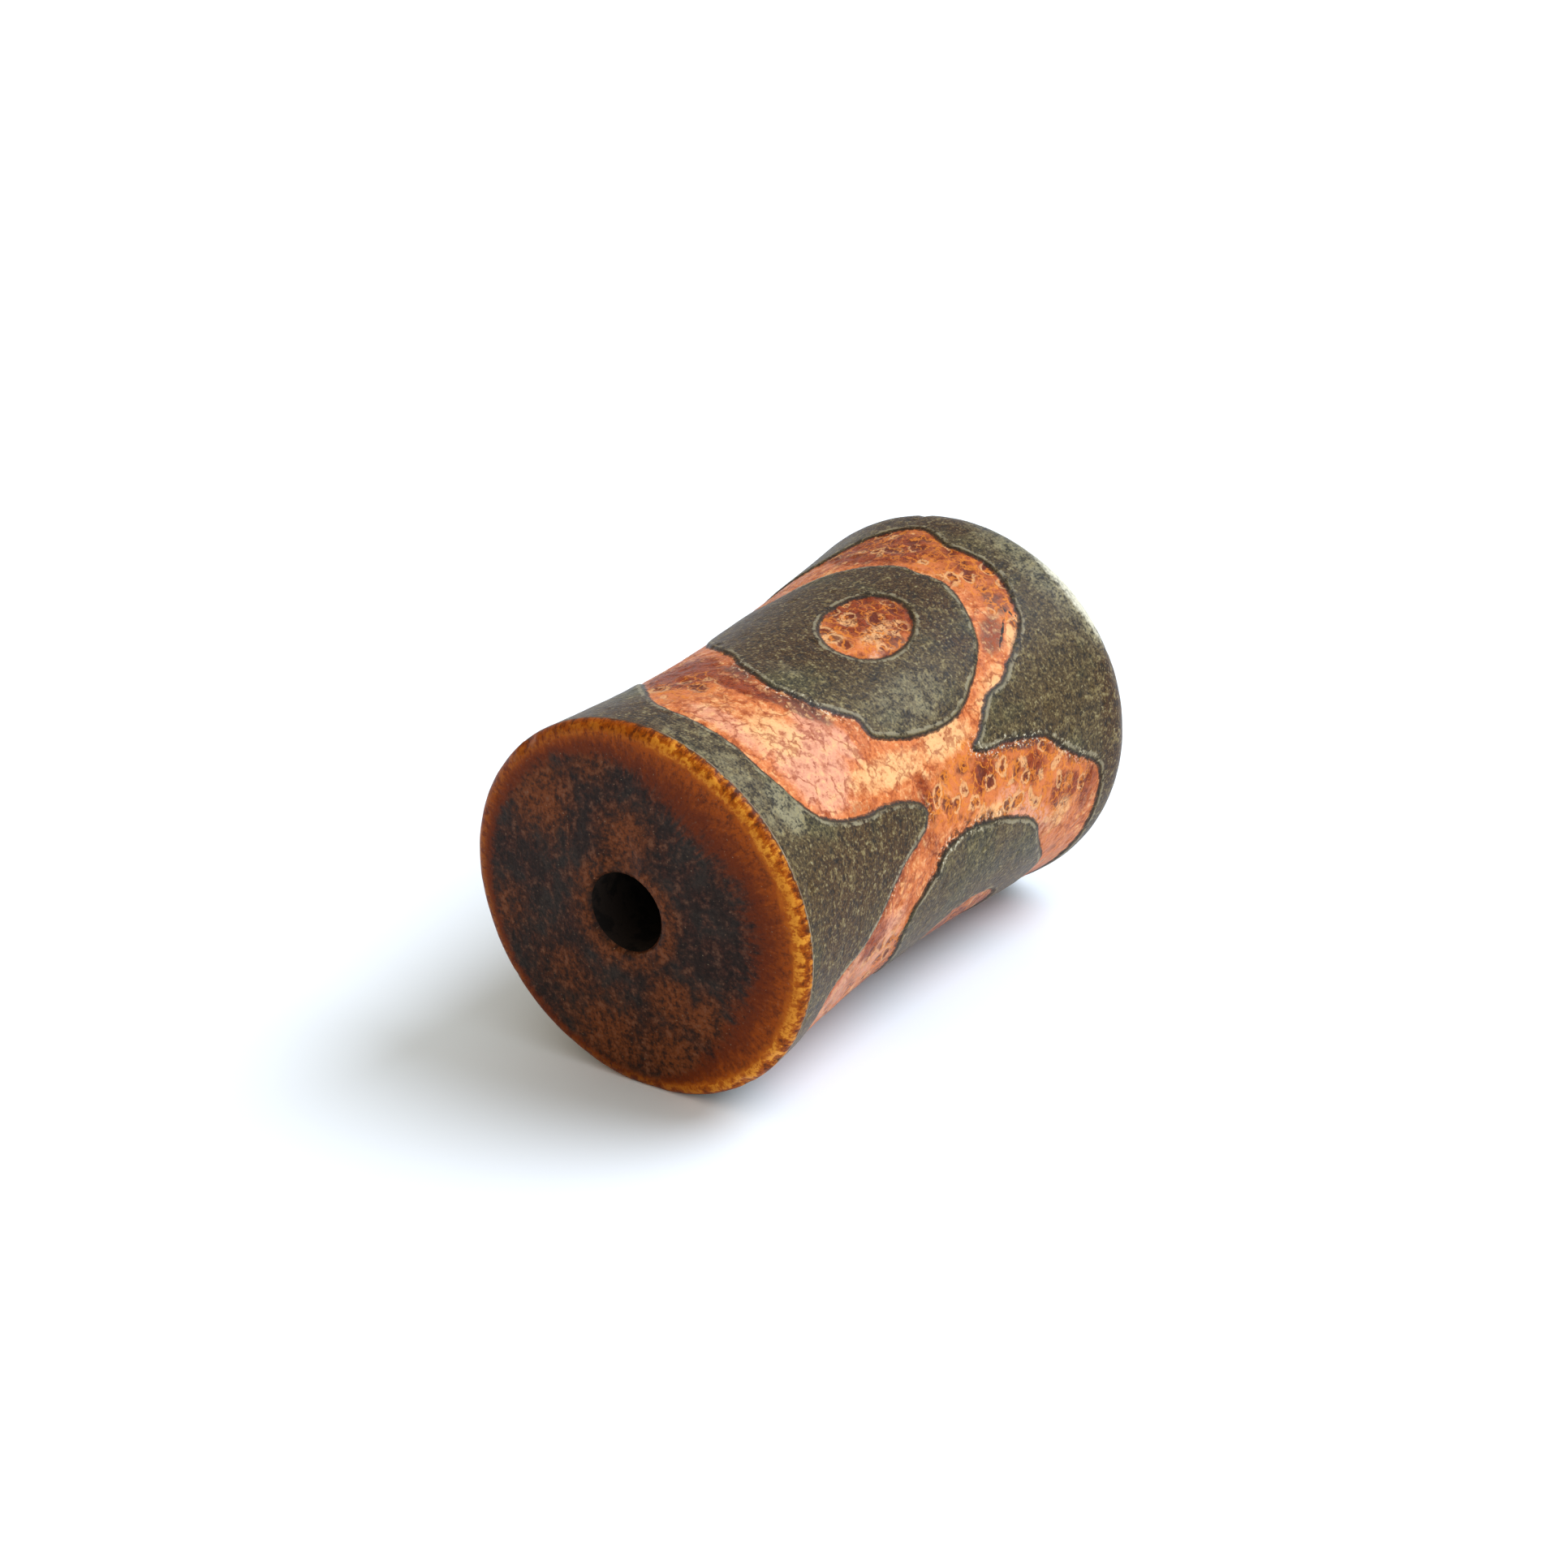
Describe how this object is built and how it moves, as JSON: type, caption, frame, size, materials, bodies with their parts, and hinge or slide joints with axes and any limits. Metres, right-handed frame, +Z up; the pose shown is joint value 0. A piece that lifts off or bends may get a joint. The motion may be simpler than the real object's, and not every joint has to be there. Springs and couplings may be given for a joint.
{
  "type": "cylinder bead",
  "caption": "Waisted cylinder bead of weathered, etched stone with a bore along it, lying on its side on small flat spots.",
  "frame": {"origin": "bottom centre of the bead's box, on the surface it lies on", "axes": "+X towards the larger end, close to the bore, which rises 2.06 degrees towards +X because both rims touch the surface; +Z up; +Y to the left when looking along +X"},
  "size_m": [0.0196, 0.0132, 0.0131],
  "materials": {
    "weathered_stone": "weathered matt stone with an etched orange pattern"
  },
  "bodies": {
    "root": {"bead": "weathered_stone"}
  },
  "joints": []
}
